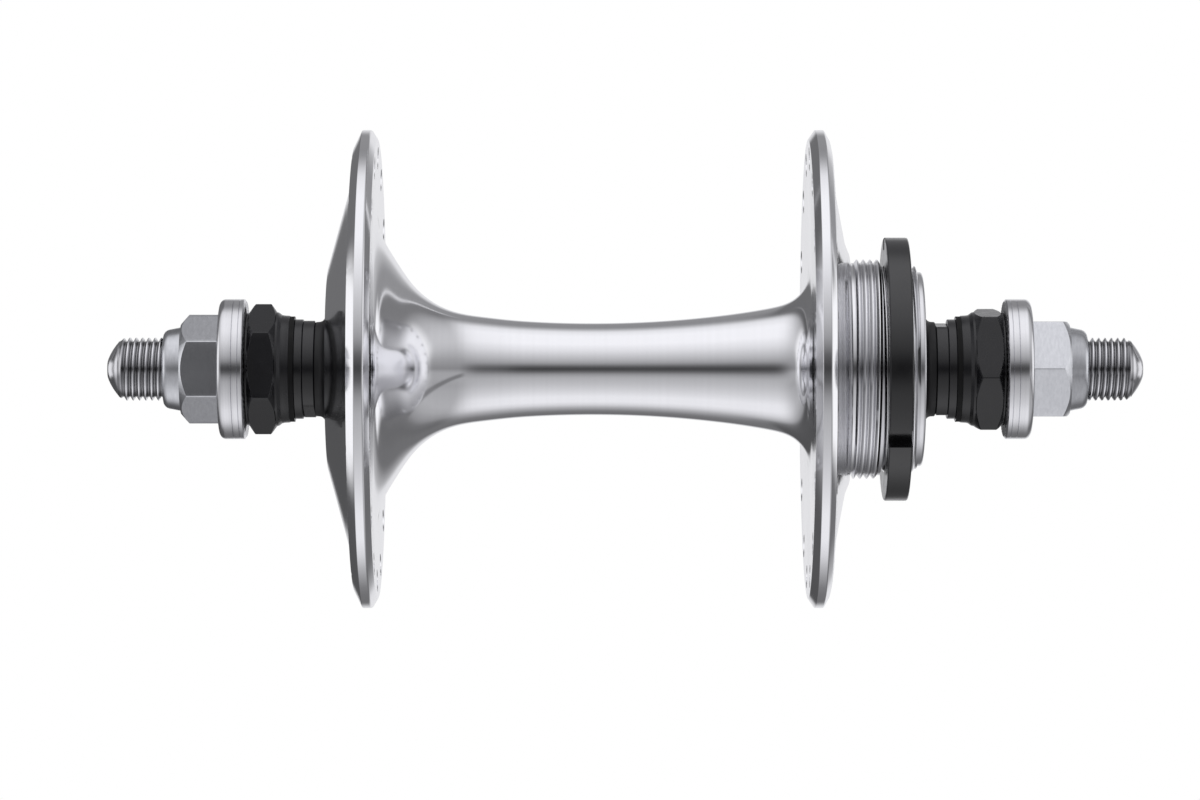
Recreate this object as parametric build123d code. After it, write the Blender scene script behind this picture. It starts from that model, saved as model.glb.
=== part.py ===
from build123d import *
from math import cos, pi, radians, sin, tan
import os

# Large-flange rear track hub, with loose-ball bearings and captive-washer axle nuts.
# Sizes are in millimetres. X runs along the axle to the drive side, Y forward and Z up.
# The origin is on the axle's centre line, midway between the outer faces of the locknuts.
# Every outline is drawn as points (x, radius) for the drive side and turned about X.

# Clearances
running_clearance = 0.03
washer_clearance = 0.05

# Axle, threaded M10 x 1 at both ends; threads are plain cylinders of the major radius
over_locknuts = 120.0
axle_length = 164.2
axle_radius = 5.0
axle_core_radius = 4.7
axle_thread_length = 46.0
axle_dome_length = 2.3
axle_dome_bulge = 0.3
axle_tip_radius = 1.5
axle_centre_hole_radius = 1.0
axle_centre_hole_depth = 1.4

# Locknut, from the frame's face inwards
locknut_length = 7.65
locknut_across_flats = 18.0
locknut_serrated_length = 0.4
locknut_hex_length = 4.4
locknut_corner_depth = 0.9
locknut_neck_cone_length = 1.1
locknut_neck_radius = 8.5
locknut_groove_width = 0.75
locknut_groove_depth = 0.2

# Spacer and cone
spacer_thickness = 1.35
spacer_radius = 7.9
small_chamfer = 0.15
cone_flat_length = 1.9
cone_flat_radius = 7.8
cone_across_flats = 14.0
cone_seat_radius = 6.9
cone_shoulder_drop = 1.4
cone_nose_length = 2.3
cone_nose_wall = 1.2

# Rubber seal on the cone
seal_length = 2.15
seal_radius = 7.5
seal_lip_thickness = 0.3
seal_lip_overlap = 0.2
seal_flare_length = 0.9
seal_flare_hollow = 0.22
seal_to_cap = 0.1

# Loose-ball bearing
ball_radius = 3.175
ball_count = 9
ball_circle_slack = 0.417
ball_to_cap = 0.225
contact_angle = 45.0
race_radius_excess = 0.325
race_edge_angle = 5.0
cup_wall = 1.375
cup_floor = 0.7
cup_lip = 1.5

# Dust cap
cap_plate = 0.8
cap_rim_height = 0.9
cap_rim_drop = 0.98
cap_plug_length = 0.7
cap_plug_wall = 0.8
cap_hole_clearance = 0.25
cap_edge_radius = 0.4

# Shell: threads on the drive side
sprocket_thread_radius = 17.4
sprocket_thread_length = 4.9
sprocket_shoulder_height = 0.9
lockring_thread_radius = 16.38
lockring_thread_length = 5.8
thread_chamfer = 0.45

# Shell: flanges
flange_radius = 37.9
spoke_hole_edge = 4.4
spoke_hole_radius = 1.25
spoke_holes = 16
spoke_hole_phase = 9.25
countersink_radius = 1.9
countersink_depth = 0.5
drill_overshoot = 0.5
spoke_band = 5.5
spoke_land = 2.1
flange_face_dish = 0.4
left_lip = 0.75
left_cone_depth = 3.3
left_band_depth = 0.85
left_outer_bevel = 1.3
left_rim_width = 1.45
left_inner_bevel = 0.9
right_cone_depth = 2.25
right_band_depth = 0.7
right_outer_bevel = 1.1
right_foot_depth = 0.7
right_foot_height = 1.7
right_foot_curve = 5.0
right_rim_width = 1.35
right_inner_bevel = 1.05
outer_bevel_height = 2.7
inner_bevel_height = 1.5
flange_edge_radius = 0.3

# Shell: barrel
waist_radius = 7.27
waist_arc_radius = 168.0
barrel_bore_gap = 0.8
left_flare_angle = 57.5
left_flare_length = 7.85
left_flare_radius = 18.0
left_flare_foot_radius = 9.0
right_flare_radius = 8.5

# Lockring
lockring_radius = 20.9
lockring_width = 3.7
lockring_standoff = 0.7
lockring_edge_radius = 0.3
lockring_notches = 3
lockring_notch_width = 3.0
lockring_notch_depth = 2.0
lockring_notch_angle = 32.0

# Axle nut and its captive washer
nut_across_flats = 15.0
nut_hex_length = 6.1
nut_corner_depth = 1.0
nut_corner_radius = 7.3
nut_nose_length = 2.8
nut_nose_base_radius = 6.65
nut_nose_tip_radius = 6.1
nut_nose_edge_radius = 0.8
nut_skirt_radius = 7.3
nut_skirt_lip_height = 0.45
nut_skirt_lip_length = 0.8
nut_skirt_setback = 0.8
nut_shoulder_gap = 0.05
washer_radius = 11.1
washer_thickness = 4.25
washer_edge_radius = 1.2
washer_inner_chamfer = 0.3
washer_groove_place = 2.0
washer_groove_width = 0.24
washer_groove_depth = 0.12

# How far each hexagon and flat is turned from facing backwards, in degrees
locknut_angle = {"left": 33.5, "right": 52.0}
nut_angle = {"left": 30.0, "right": 0.0}
cone_angle = {"left": -75.0, "right": 84.3}

# Places along the axle, from the locknut's face inwards
locknut_face = over_locknuts / 2
locknut_inner = locknut_face - locknut_length
spacer_inner = locknut_inner - spacer_thickness
cone_flat_inner = spacer_inner - cone_flat_length
seal_inner = cone_flat_inner - seal_length
cap_face = seal_inner + 0.5 * seal_to_cap
shell_end = cap_face - cap_rim_height
ball_plane = cap_face - cap_plate - ball_to_cap - ball_radius

# Radii of the bearing, worked outwards and inwards from the circle of ball centres
ball_circle = ball_radius / sin(pi / ball_count) + ball_circle_slack
race_radius = ball_radius + race_radius_excess
cup_radius = ball_circle + ball_radius + cup_wall
cup_inner = ball_plane - ball_radius - running_clearance - cup_floor
cone_shoulder_radius = ball_circle - cone_shoulder_drop
cap_hole_radius = cone_shoulder_radius + cap_hole_clearance
cap_rim_radius = lockring_thread_radius - cap_rim_drop
seal_lip_radius = cap_hole_radius + seal_lip_overlap
barrel_bore_radius = axle_radius + barrel_bore_gap

# Places of the shell's flanges, from its ends inwards
lockring_thread_inner = shell_end - lockring_thread_length
sprocket_shoulder = lockring_thread_inner - sprocket_thread_length
right_band = sprocket_shoulder - right_cone_depth
right_rim_outer = right_band - right_band_depth - right_outer_bevel
right_rim_inner = right_rim_outer - right_rim_width
right_face = right_rim_inner - right_inner_bevel
left_band = cap_face - left_cone_depth
left_rim_outer = left_band - left_band_depth - left_outer_bevel
left_rim_inner = left_rim_outer - left_rim_width
left_face = left_rim_inner - left_inner_bevel
spoke_circle_radius = flange_radius - spoke_hole_edge
band_inner_radius = spoke_circle_radius - spoke_band
land_inner_radius = spoke_circle_radius - spoke_land
waist_place = (right_face - left_face) / 2


def barrel_point(x):
    """A point (x, radius) on the barrel's long arc."""
    sag = waist_arc_radius - (waist_arc_radius**2 - (x - waist_place) ** 2) ** 0.5
    return (x, waist_radius + sag)


# Corners (x, radius) of the shell's section that its outline and its spoke holes share
bevel_foot_radius = flange_radius - outer_bevel_height
face_edge_radius = flange_radius - inner_bevel_height
left_knee = barrel_point(left_flare_length - left_face)
left_foot_place = -left_face - flange_face_dish
left_flare_rise = (left_knee[0] - left_foot_place) * tan(radians(left_flare_angle))
left_foot = (left_foot_place, left_knee[1] + left_flare_rise)
left_face_edge = (-left_face, face_edge_radius)
left_land = left_rim_outer + left_outer_bevel
left_bevel_foot = (-left_land, bevel_foot_radius)
left_land_edge = (-left_land, land_inner_radius)
left_band_foot = (-left_band, band_inner_radius)
right_knee = barrel_point(right_face + flange_face_dish)
right_face_edge = (right_face, face_edge_radius)
right_land = right_rim_outer + right_outer_bevel
right_bevel_foot = (right_land, bevel_foot_radius)
right_land_edge = (right_land, land_inner_radius)
right_band_foot = (right_band, band_inner_radius)
shoulder_edge = (sprocket_shoulder, sprocket_thread_radius + sprocket_shoulder_height)
right_cone_foot = (shoulder_edge[0] - right_foot_depth, shoulder_edge[1] + right_foot_height)

sides = ("left", "right")
same_point = 1e-6


def outline(*pieces):
    """A face from points (x, radius) and ready-made edges, joined in turn and closed."""
    edges = []
    first, last = None, None
    for piece in pieces:
        start = piece @ 0 if isinstance(piece, Edge) else Vector(*piece)
        if last is not None and (start - last).length > same_point:
            edges.append(Edge.make_line(last, start))
        if isinstance(piece, Edge):
            edges.append(piece)
            last = piece @ 1
        else:
            last = start
        if first is None:
            first = start
    edges.append(Edge.make_line(last, first))
    return Face(Wire(edges))


def rounded(face, radius, *corners):
    """The face with a fillet at each of these corners (x, radius)."""
    for corner in corners:
        face = face.fillet_2d(radius, [nearest_corner(face, corner)])
    return face


def nearest_corner(face, point):
    return min(face.vertices(), key=lambda v: (Vector(v) - Vector(*point)).length)


def turned(face):
    """The solid that the outline sweeps in one turn about the axle."""
    return revolve(face, Axis.X)


def on_side(solid, side):
    """A drive-side solid as it is, or mirrored to the left end of the axle."""
    return solid if side == "right" else mirror(solid, Plane.YZ)


def arc_about(centre, radius, start, end):
    """An arc about a centre (x, radius), between two angles in degrees."""
    def place(angle):
        turn = radians(angle)
        return Vector(centre[0] + radius * cos(turn), centre[1] + radius * sin(turn))
    return Edge.make_three_point_arc(place(start), place((start + end) / 2), place(end))


def bowed(start, end, bulge):
    """An arc between two points (x, radius). Its middle lies this far off the straight line."""
    start, end = Vector(*start), Vector(*end)
    along = (end - start).normalized()
    middle = (start + end) / 2 + Vector(-along.Y, along.X) * bulge
    return Edge.make_three_point_arc(start, middle, end)


def hexagon(across_flats, x_from, x_to, vertex_angle):
    """A hexagonal bar about the axle. One corner is vertex_angle above the rearward direction."""
    plan = RegularPolygon(across_flats / 2, 6, major_radius=False, rotation=0)
    bar = extrude(Plane.YZ.offset(x_from) * plan, x_to - x_from)
    return bar.rotate(Axis.X, -vertex_angle)


def axle():
    half = axle_length / 2
    dome_start = half - axle_dome_length
    thread_end = half - axle_thread_length
    profile = outline(
        (0, 0),
        (0, axle_core_radius),
        (thread_end, axle_core_radius),
        (thread_end + axle_radius - axle_core_radius, axle_radius),
        bowed((dome_start, axle_radius), (half, axle_tip_radius), axle_dome_bulge),
        (half, axle_centre_hole_radius),
        (half - axle_centre_hole_depth, 0),
    )
    end = turned(profile)
    return end + mirror(end, Plane.YZ)


def locknut(side):
    hex_outer = locknut_face - locknut_serrated_length
    hex_inner = hex_outer - locknut_hex_length
    neck_outer = hex_inner - locknut_neck_cone_length
    flat = locknut_across_flats / 2
    corner = flat / cos(pi / 6)
    neck = turned(outline(
        (locknut_inner, axle_radius),
        (locknut_inner, locknut_neck_radius - locknut_groove_depth),
        (locknut_inner + locknut_groove_width, locknut_neck_radius - locknut_groove_depth),
        (locknut_inner + locknut_groove_width, locknut_neck_radius - small_chamfer),
        (locknut_inner + locknut_groove_width + small_chamfer, locknut_neck_radius),
        (neck_outer, locknut_neck_radius),
        (hex_inner, flat),
        (locknut_face, flat),
        (locknut_face, axle_radius),
    ))
    corners = turned(outline(
        (hex_inner, axle_radius),
        (hex_inner, flat),
        (hex_inner + locknut_corner_depth, corner),
        (hex_outer - locknut_corner_depth, corner),
        (hex_outer, flat),
        (hex_outer, axle_radius),
    ))
    bar = hexagon(locknut_across_flats, hex_inner, hex_outer, locknut_angle[side])
    return on_side(neck + (bar & corners), side)


def spacer(side):
    return on_side(turned(outline(
        (spacer_inner, axle_radius),
        (spacer_inner, spacer_radius - small_chamfer),
        (spacer_inner + small_chamfer, spacer_radius),
        (locknut_inner - small_chamfer, spacer_radius),
        (locknut_inner, spacer_radius - small_chamfer),
        (locknut_inner, axle_radius),
    )), side)


def race(direction):
    """The centre (x, radius) of a race's arc. It touches the balls' clearance at this angle."""
    back = race_radius - ball_radius - running_clearance
    turn = radians(direction)
    return (ball_plane - back * cos(turn), ball_circle - back * sin(turn))


def cone(side):
    centre = race(-contact_angle)
    drop = (centre[1] - cone_shoulder_radius) / race_radius
    shoulder_angle = -Vector(1, 0).get_angle(Vector((1 - drop**2) ** 0.5, drop))
    track = arc_about(centre, race_radius, -90 + race_edge_angle, shoulder_angle)
    nose_radius = axle_radius + cone_nose_wall
    body = turned(outline(
        (centre[0] - cone_nose_length, axle_radius),
        (centre[0] - cone_nose_length, nose_radius),
        track,
        (seal_inner, cone_shoulder_radius),
        (seal_inner, cone_seat_radius),
        (cone_flat_inner, cone_seat_radius),
        (cone_flat_inner, cone_flat_radius - small_chamfer),
        (cone_flat_inner + small_chamfer, cone_flat_radius),
        (spacer_inner - small_chamfer, cone_flat_radius),
        (spacer_inner, cone_flat_radius - small_chamfer),
        (spacer_inner, axle_radius),
    ))
    waste = Box(cone_flat_length, 2 * cone_flat_radius, cone_flat_radius)
    for face in (-1, 1):
        middle = face * (cone_across_flats + cone_flat_radius) / 2
        cut = Pos(cone_flat_inner + cone_flat_length / 2, 0, middle) * waste
        body -= cut.rotate(Axis.X, 90 - cone_angle[side])
    return on_side(body, side)


def seal(side):
    lip_inner = cap_face + seal_to_cap / 2
    lip_outer = lip_inner + seal_lip_thickness
    flare_end = (lip_outer + seal_flare_length, seal_radius)
    return on_side(turned(outline(
        (seal_inner, cone_seat_radius),
        (seal_inner, cone_shoulder_radius),
        (lip_inner, cone_shoulder_radius),
        (lip_inner, seal_lip_radius),
        bowed((lip_outer, seal_lip_radius), flare_end, -seal_flare_hollow),
        (cone_flat_inner, seal_radius),
        (cone_flat_inner, cone_seat_radius),
    )), side)


def bearing_cup(side):
    track = arc_about(race(180 - contact_angle), race_radius, 90 - race_edge_angle, 180 - race_edge_angle)
    hole_radius = ball_circle - cup_floor
    lip_outer = ball_plane + ball_radius - cup_lip / 2
    return on_side(turned(outline(
        (cup_inner, hole_radius),
        (cup_inner, cup_radius),
        (lip_outer, cup_radius),
        (lip_outer, (track @ 0).Y),
        track,
        ((track @ 1).X, hole_radius),
    )), side)


def bearing_balls(side):
    ball = Sphere(ball_radius)
    ring = [
        Rot(X=360 * k / ball_count) * Pos(ball_plane, 0, ball_circle) * ball
        for k in range(ball_count)
    ]
    return on_side(Compound(ring), side)


def dust_cap(side):
    plug_inner = shell_end - cap_plug_length
    plate_inner = cap_face - cap_plate
    profile = outline(
        (plate_inner, cap_hole_radius),
        (cap_face, cap_hole_radius),
        (cap_face, cap_rim_radius),
        (shell_end, cap_rim_radius),
        (shell_end, cup_radius),
        (plug_inner, cup_radius),
        (plug_inner, cup_radius - cap_plug_wall),
        (plate_inner, cup_radius - cap_plug_wall),
    )
    return on_side(turned(rounded(profile, cap_edge_radius, (cap_face, cap_rim_radius))), side)


def shell_profile():
    """The shell's section: the outside from left to right, then the bore back to the left."""
    lip_edge = (-cap_face, cap_rim_radius + left_lip)
    barrel = Edge.make_three_point_arc(
        Vector(*left_knee), Vector(waist_place, waist_radius), Vector(*right_knee)
    )
    face = outline(
        (-cap_face, cap_rim_radius),
        lip_edge,
        left_band_foot,
        left_land_edge,
        left_bevel_foot,
        (-left_rim_outer, flange_radius),
        (-left_rim_inner, flange_radius),
        left_face_edge,
        left_foot,
        barrel,
        right_face_edge,
        (right_rim_inner, flange_radius),
        (right_rim_outer, flange_radius),
        right_bevel_foot,
        right_land_edge,
        right_band_foot,
        right_cone_foot,
        shoulder_edge,
        (sprocket_shoulder, sprocket_thread_radius),
        (lockring_thread_inner - thread_chamfer, sprocket_thread_radius),
        (lockring_thread_inner, sprocket_thread_radius - thread_chamfer),
        (lockring_thread_inner, lockring_thread_radius),
        (shell_end - thread_chamfer, lockring_thread_radius),
        (shell_end, lockring_thread_radius - thread_chamfer),
        (shell_end, cup_radius),
        (cup_inner, cup_radius),
        (cup_inner, barrel_bore_radius),
        (-cup_inner, barrel_bore_radius),
        (-cup_inner, cup_radius),
        (-shell_end, cup_radius),
        (-shell_end, cap_rim_radius),
    )
    face = rounded(face, left_flare_radius, left_knee)
    face = rounded(face, left_flare_foot_radius, left_foot)
    face = rounded(face, right_flare_radius, right_knee)
    face = rounded(face, right_foot_curve, right_cone_foot)
    edges = (lip_edge, left_bevel_foot, left_face_edge, right_face_edge, right_bevel_foot)
    return rounded(face, flange_edge_radius, *edges)


def place_on(start, end, radius):
    """Where a straight stretch of the section between two points (x, radius) crosses a radius."""
    share = (radius - start[1]) / (end[1] - start[1])
    return start[0] + share * (end[0] - start[0])


def spoke_drill(x_inner, x_outer, phase):
    """The holes of one flange, drilled along X and countersunk on both faces."""
    reach = x_outer - x_inner
    slope = (countersink_radius - spoke_hole_radius) / countersink_depth
    mouth = countersink_radius + slope * drill_overshoot
    sink = Cone(spoke_hole_radius, mouth, countersink_depth + drill_overshoot)
    tool = Rot(Y=90) * Cylinder(spoke_hole_radius, reach)
    for face in (-1, 1):
        tool += Pos(face * (reach + drill_overshoot - countersink_depth) / 2, 0, 0) * Rot(Y=90 * face) * sink
    middle = (x_inner + x_outer) / 2
    return [
        Rot(X=phase + 360 * k / spoke_holes) * Pos(middle, spoke_circle_radius, 0) * tool
        for k in range(spoke_holes)
    ]


def hub_shell():
    flanges = (
        (left_foot, left_face_edge, -left_land, spoke_hole_phase + 180 / spoke_holes),
        (right_knee, right_face_edge, right_land, spoke_hole_phase),
    )
    holes = []
    for face_foot, face_edge, land_place, phase in flanges:
        face_place = place_on(face_foot, face_edge, spoke_circle_radius)
        holes += spoke_drill(min(face_place, land_place), max(face_place, land_place), phase)
    return turned(shell_profile()).cut(*holes)


def lockring():
    inner = lockring_thread_inner + lockring_standoff
    outer = inner + lockring_width
    bore = lockring_thread_radius + running_clearance
    profile = outline(
        (inner, bore),
        (inner, lockring_radius),
        (outer, lockring_radius),
        (outer, bore),
    )
    ring = turned(rounded(profile, lockring_edge_radius, (inner, lockring_radius), (outer, lockring_radius)))
    floor = lockring_radius - lockring_notch_depth
    notch = Pos((inner + outer) / 2, -floor - lockring_notch_depth, 0) * Box(
        2 * lockring_width, 2 * lockring_notch_depth, lockring_notch_width
    )
    for k in range(lockring_notches):
        ring -= notch.rotate(Axis.X, lockring_notch_angle + 360 * k / lockring_notches)
    return ring


def nut_washer(side):
    outer = locknut_face + washer_thickness
    groove = locknut_face + washer_groove_place
    lip_bore = nut_skirt_radius + nut_skirt_lip_height + washer_clearance
    lip_seat = locknut_face + nut_skirt_setback + nut_skirt_lip_length + washer_clearance
    bore = nut_skirt_radius + washer_clearance
    profile = outline(
        (locknut_face, lip_bore),
        (locknut_face, washer_radius - washer_inner_chamfer),
        (locknut_face + washer_inner_chamfer, washer_radius),
        (groove - washer_groove_width / 2, washer_radius),
        (groove, washer_radius - washer_groove_depth),
        (groove + washer_groove_width / 2, washer_radius),
        (outer, washer_radius),
        (outer, bore),
        (lip_seat, bore),
        (lip_seat, lip_bore),
    )
    return on_side(turned(rounded(profile, washer_edge_radius, (outer, washer_radius))), side)


def axle_nut(side):
    hex_inner = locknut_face + washer_thickness + nut_shoulder_gap
    hex_outer = hex_inner + nut_hex_length
    tip = hex_outer + nut_nose_length
    skirt = locknut_face + nut_skirt_setback
    bore = axle_radius + running_clearance
    corner = nut_across_flats / 2 / cos(pi / 6)
    envelope = turned(outline(
        (hex_inner, bore),
        (hex_inner, corner),
        (hex_outer - nut_corner_depth, corner),
        (hex_outer, nut_corner_radius),
        (hex_outer, bore),
    ))
    bar = hexagon(nut_across_flats, hex_inner, hex_outer, nut_angle[side])
    core = outline(
        (skirt, bore),
        (skirt, nut_skirt_radius + nut_skirt_lip_height),
        (skirt + nut_skirt_lip_length, nut_skirt_radius + nut_skirt_lip_height),
        (skirt + nut_skirt_lip_length, nut_skirt_radius),
        (hex_inner, nut_skirt_radius),
        (hex_inner, nut_nose_base_radius),
        (hex_outer, nut_nose_base_radius),
        (tip, nut_nose_tip_radius),
        (tip, bore),
    )
    core = turned(rounded(core, nut_nose_edge_radius, (tip, nut_nose_tip_radius)))
    return on_side(core + (bar & envelope), side)


nodes = {"hub_shell": hub_shell(), "axle": axle(), "lockring": lockring()}
for maker in (
    locknut, spacer, cone, seal, bearing_cup, bearing_balls, dust_cap, nut_washer, axle_nut
):
    for side in sides:
        nodes[f"{maker.__name__}_{side}"] = maker(side)

os.makedirs("parts", exist_ok=True)
for name, solid in nodes.items():
    solid.label = name
    export_step(solid, f"parts/{name}.step")
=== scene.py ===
from math import acos, atan, ceil, cos, degrees, hypot, pi, radians, sin, sqrt, tan

import bmesh
import bpy
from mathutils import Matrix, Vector


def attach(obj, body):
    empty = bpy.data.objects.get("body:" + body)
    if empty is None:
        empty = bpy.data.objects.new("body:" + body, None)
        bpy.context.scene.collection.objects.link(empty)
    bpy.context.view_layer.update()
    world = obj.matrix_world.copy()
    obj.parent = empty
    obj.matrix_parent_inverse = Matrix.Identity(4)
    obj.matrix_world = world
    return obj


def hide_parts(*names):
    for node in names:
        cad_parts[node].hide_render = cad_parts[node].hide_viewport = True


# Looks of a large-flange rear track hub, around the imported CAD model.
# Sizes below are in millimetres, and meshes are written in metres in the CAD's frame.
# X runs along the axle to the drive side, Y forward and Z up. Angles about the axle
# start at the rear, on the photograph's side, and turn upwards.

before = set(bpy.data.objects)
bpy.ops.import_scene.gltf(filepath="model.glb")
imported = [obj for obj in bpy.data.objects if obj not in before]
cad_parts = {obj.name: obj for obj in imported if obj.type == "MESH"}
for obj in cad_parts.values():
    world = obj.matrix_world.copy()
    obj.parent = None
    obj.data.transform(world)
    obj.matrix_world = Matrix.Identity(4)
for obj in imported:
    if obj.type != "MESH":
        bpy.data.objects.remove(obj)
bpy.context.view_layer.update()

MM = 0.001
SIDES = {"left": -1, "right": 1}

# Running clearance of what turns or slides on a thread
CLEARANCE = 0.03

# Places along the axle, from the locknut's face inwards; the left side mirrors them
LOCKNUT_FACE = 120.0 / 2
LOCKNUT_INNER = LOCKNUT_FACE - 7.65
SPACER_INNER = LOCKNUT_INNER - 1.35
CONE_FLAT_INNER = SPACER_INNER - 1.9
SEAL_INNER = CONE_FLAT_INNER - 2.15
CAP_FACE = SEAL_INNER + 0.05
SHELL_END = CAP_FACE - 0.9
CUP_FLOOR = 38.895

# Places along the axle, outwards
WASHER_FACE = LOCKNUT_FACE + 4.25
NUT_HEX_INNER = WASHER_FACE + 0.05
NUT_HEX_OUTER = NUT_HEX_INNER + 6.1
AXLE_END = 164.2 / 2
AXLE_DOME_START = AXLE_END - 2.3
AXLE_THREAD_END = AXLE_DOME_START + 0.5
AXLE_THREAD_START = 36.4

# The drive side's threads and flange, from the shell's end inwards
LOCKRING_THREAD_INNER = SHELL_END - 5.8
SPROCKET_SHOULDER = LOCKRING_THREAD_INNER - 4.9
RIGHT_CONE_FOOT = SPROCKET_SHOULDER - 0.7
RIGHT_BAND = SPROCKET_SHOULDER - 2.25
RIGHT_LAND = RIGHT_BAND - 0.7
RIGHT_RIM_OUTER = RIGHT_LAND - 1.1
RIGHT_RIM_INNER = RIGHT_RIM_OUTER - 1.35
RIGHT_FACE = RIGHT_RIM_INNER - 1.05

# The other side's flange, from the shell's end inwards
LEFT_BAND = CAP_FACE - 3.3
LEFT_LAND = LEFT_BAND - 0.85
LEFT_RIM_OUTER = LEFT_LAND - 1.3
LEFT_RIM_INNER = LEFT_RIM_OUTER - 1.45
LEFT_FACE = LEFT_RIM_INNER - 0.9

# Radii of the shell
FLANGE_RADIUS = 37.9
FACE_EDGE_RADIUS = FLANGE_RADIUS - 1.5
LAND_OUTER_RADIUS = FLANGE_RADIUS - 2.7
SPOKE_CIRCLE_RADIUS = 67.0 / 2
LAND_INNER_RADIUS = SPOKE_CIRCLE_RADIUS - 2.1
BAND_RADIUS = SPOKE_CIRCLE_RADIUS - 5.5
SPROCKET_THREAD_RADIUS = 17.4
LOCKRING_THREAD_RADIUS = 16.38
CUP_RADIUS = 14.25
AXLE_WAY_RADIUS = 5.8

# Radii of the other pieces
AXLE_RADIUS = 5.0
AXLE_CORE_RADIUS = 4.7
CAP_RIM_RADIUS = 15.4
CAP_HOLE_RADIUS = 8.55
CONE_SEAT_RADIUS = 6.9
CONE_RADIUS = 7.8
SPACER_RADIUS = 7.9
LOCKRING_RADIUS = 20.9
WASHER_RADIUS = 11.1
WASHER_HOLE_RADIUS = 7.35
NUT_SKIRT_RADIUS = 7.3

# Threads: 24 turns an inch on the shell, 1 mm on the axle
SHELL_THREAD_PITCH = 1.058
SHELL_THREAD_DEPTH = 0.55
AXLE_THREAD_PITCH = 1.0
AXLE_THREAD_DEPTH = 0.6
# One turn of thread: shares of the pitch, and of the depth above the root
THREAD_FORM = ((0.06, 0.0), (0.43, 1.0), (0.57, 1.0), (0.94, 0.0))

# Spoke holes: how many a flange has, and where the first one lies, in degrees
SPOKE_HOLES = 16
SPOKE_PHASE = {"left": 20.5, "right": 9.25}
# The flanges' flat lands round the spoke holes, and their inner faces at the holes
LAND = {"left": -LEFT_LAND, "right": RIGHT_LAND}
INNER_FACE = {"left": -39.284, "right": 28.995}

# Turn of each hexagon and of the cones' flats, in degrees
LOCKNUT_TURN = {"left": 33.5, "right": 52.0}
NUT_TURN = {"left": 30.0, "right": 0.0}
CONE_TURN = {"left": -75.0, "right": 84.3}


# Turned forms

def on_side(section, side):
    return [(SIDES[side] * x, r) for x, r in section]


def about_axle(x, r, turn):
    """A point at this place along the axle, this far from it and this way round, in metres."""
    return (x * MM, -r * cos(turn) * MM, r * sin(turn) * MM)


def between(first, last, share):
    """The direction that is this share of the way round from first to last."""
    angle = first.angle(last)
    return (first * sin((1 - share) * angle) + last * sin(share * angle)) / sin(angle)


def outline(*corners):
    """Points of a section. A corner is (x, r), or (x, r, radius) where it is rounded."""
    points = []
    count = len(corners)
    for i, corner in enumerate(corners):
        here = Vector(corner[:2])
        if len(corner) == 2:
            points.append((here.x, here.y))
            continue
        before = Vector(corners[i - 1][:2]) - here
        after = Vector(corners[(i + 1) % count][:2]) - here
        half = before.angle(after) / 2
        # A rounding takes up less than half of each line that meets there
        reach = min(corner[2] / tan(half), 0.48 * before.length, 0.48 * after.length)
        radius = reach * tan(half)
        centre = here + (before.normalized() + after.normalized()).normalized() * radius / sin(half)
        first = here + before.normalized() * reach - centre
        last = here + after.normalized() * reach - centre
        steps = max(3, ceil((pi - 2 * half) / radians(6)))
        for k in range(steps + 1):
            spoke = between(first, last, k / steps).normalized() * radius
            points.append((centre.x + spoke.x, centre.y + spoke.y))
    return points


def even_angles(steps):
    return [360 * k / steps for k in range(steps)]


def finished_mesh(name, bm, merge=None):
    """The bmesh as a mesh with its normals outwards, and points closer than merge made one."""
    if merge:
        bmesh.ops.remove_doubles(bm, verts=bm.verts, dist=merge)
    bmesh.ops.recalc_face_normals(bm, faces=bm.faces)
    mesh = bpy.data.meshes.new(name)
    bm.to_mesh(mesh)
    bm.free()
    return mesh


def turned_mesh(name, section_at, angles, closed=True):
    """A mesh from sections of equal length, one for each angle about the axle."""
    bm = bmesh.new()
    rings = []
    for angle in angles:
        turn = radians(angle)
        rings.append([bm.verts.new(about_axle(x, r, turn)) for x, r in section_at(angle)])
    size = len(rings[0])
    for i, ring in enumerate(rings):
        following = rings[(i + 1) % len(rings)]
        for k in range(size if closed else size - 1):
            j = (k + 1) % size
            bm.faces.new((ring[k], ring[j], following[j], following[k]))
    return finished_mesh(name, bm, 1e-7)


def lathe(name, section, steps, closed=True):
    return turned_mesh(name, lambda angle: section, even_angles(steps), closed)


def thread_mesh(name, start, end, major, depth, pitch, inner, fade, hand=1, steps=180):
    """A screw thread from start to end. Its rows follow the helix, and it fades in at its ends."""
    low, high = min(start, end), max(start, end)
    root = major - depth
    turns = ceil((high - low) / pitch) + 1
    bm = bmesh.new()
    columns = []
    for i in range(steps + 1):
        rows = [(low, inner), (low, root)]
        for k in range(-1, turns):
            for place, height in THREAD_FORM:
                x = low + (k + place + hand * i / steps) * pitch
                x = min(max(x, low), high)
                ease = min(1.0, (x - low) / fade, (high - x) / fade)
                rows.append((x, root + depth * height * ease))
        rows += [(high, root), (high, inner)]
        turn = 2 * pi * i / steps
        columns.append([bm.verts.new(about_axle(x, r, turn)) for x, r in rows])
    size = len(columns[0])
    for left, right in zip(columns, columns[1:]):
        for k in range(size):
            j = (k + 1) % size
            bm.faces.new((left[k], left[j], right[j], right[k]))
    return finished_mesh(name, bm, 2e-6)


def cut(mesh, tool_mesh):
    """The mesh with the tool's volume taken out."""
    body = bpy.data.objects.new("cut_body", mesh)
    tool = bpy.data.objects.new("cut_tool", tool_mesh)
    for obj in (body, tool):
        bpy.context.scene.collection.objects.link(obj)
    modifier = body.modifiers.new("cut", "BOOLEAN")
    modifier.operation = "DIFFERENCE"
    modifier.solver = "EXACT"
    modifier.object = tool
    bpy.context.view_layer.update()
    evaluated = body.evaluated_get(bpy.context.evaluated_depsgraph_get())
    result = bpy.data.meshes.new_from_object(evaluated)
    bpy.data.objects.remove(body)
    bpy.data.objects.remove(tool)
    return result


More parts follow.
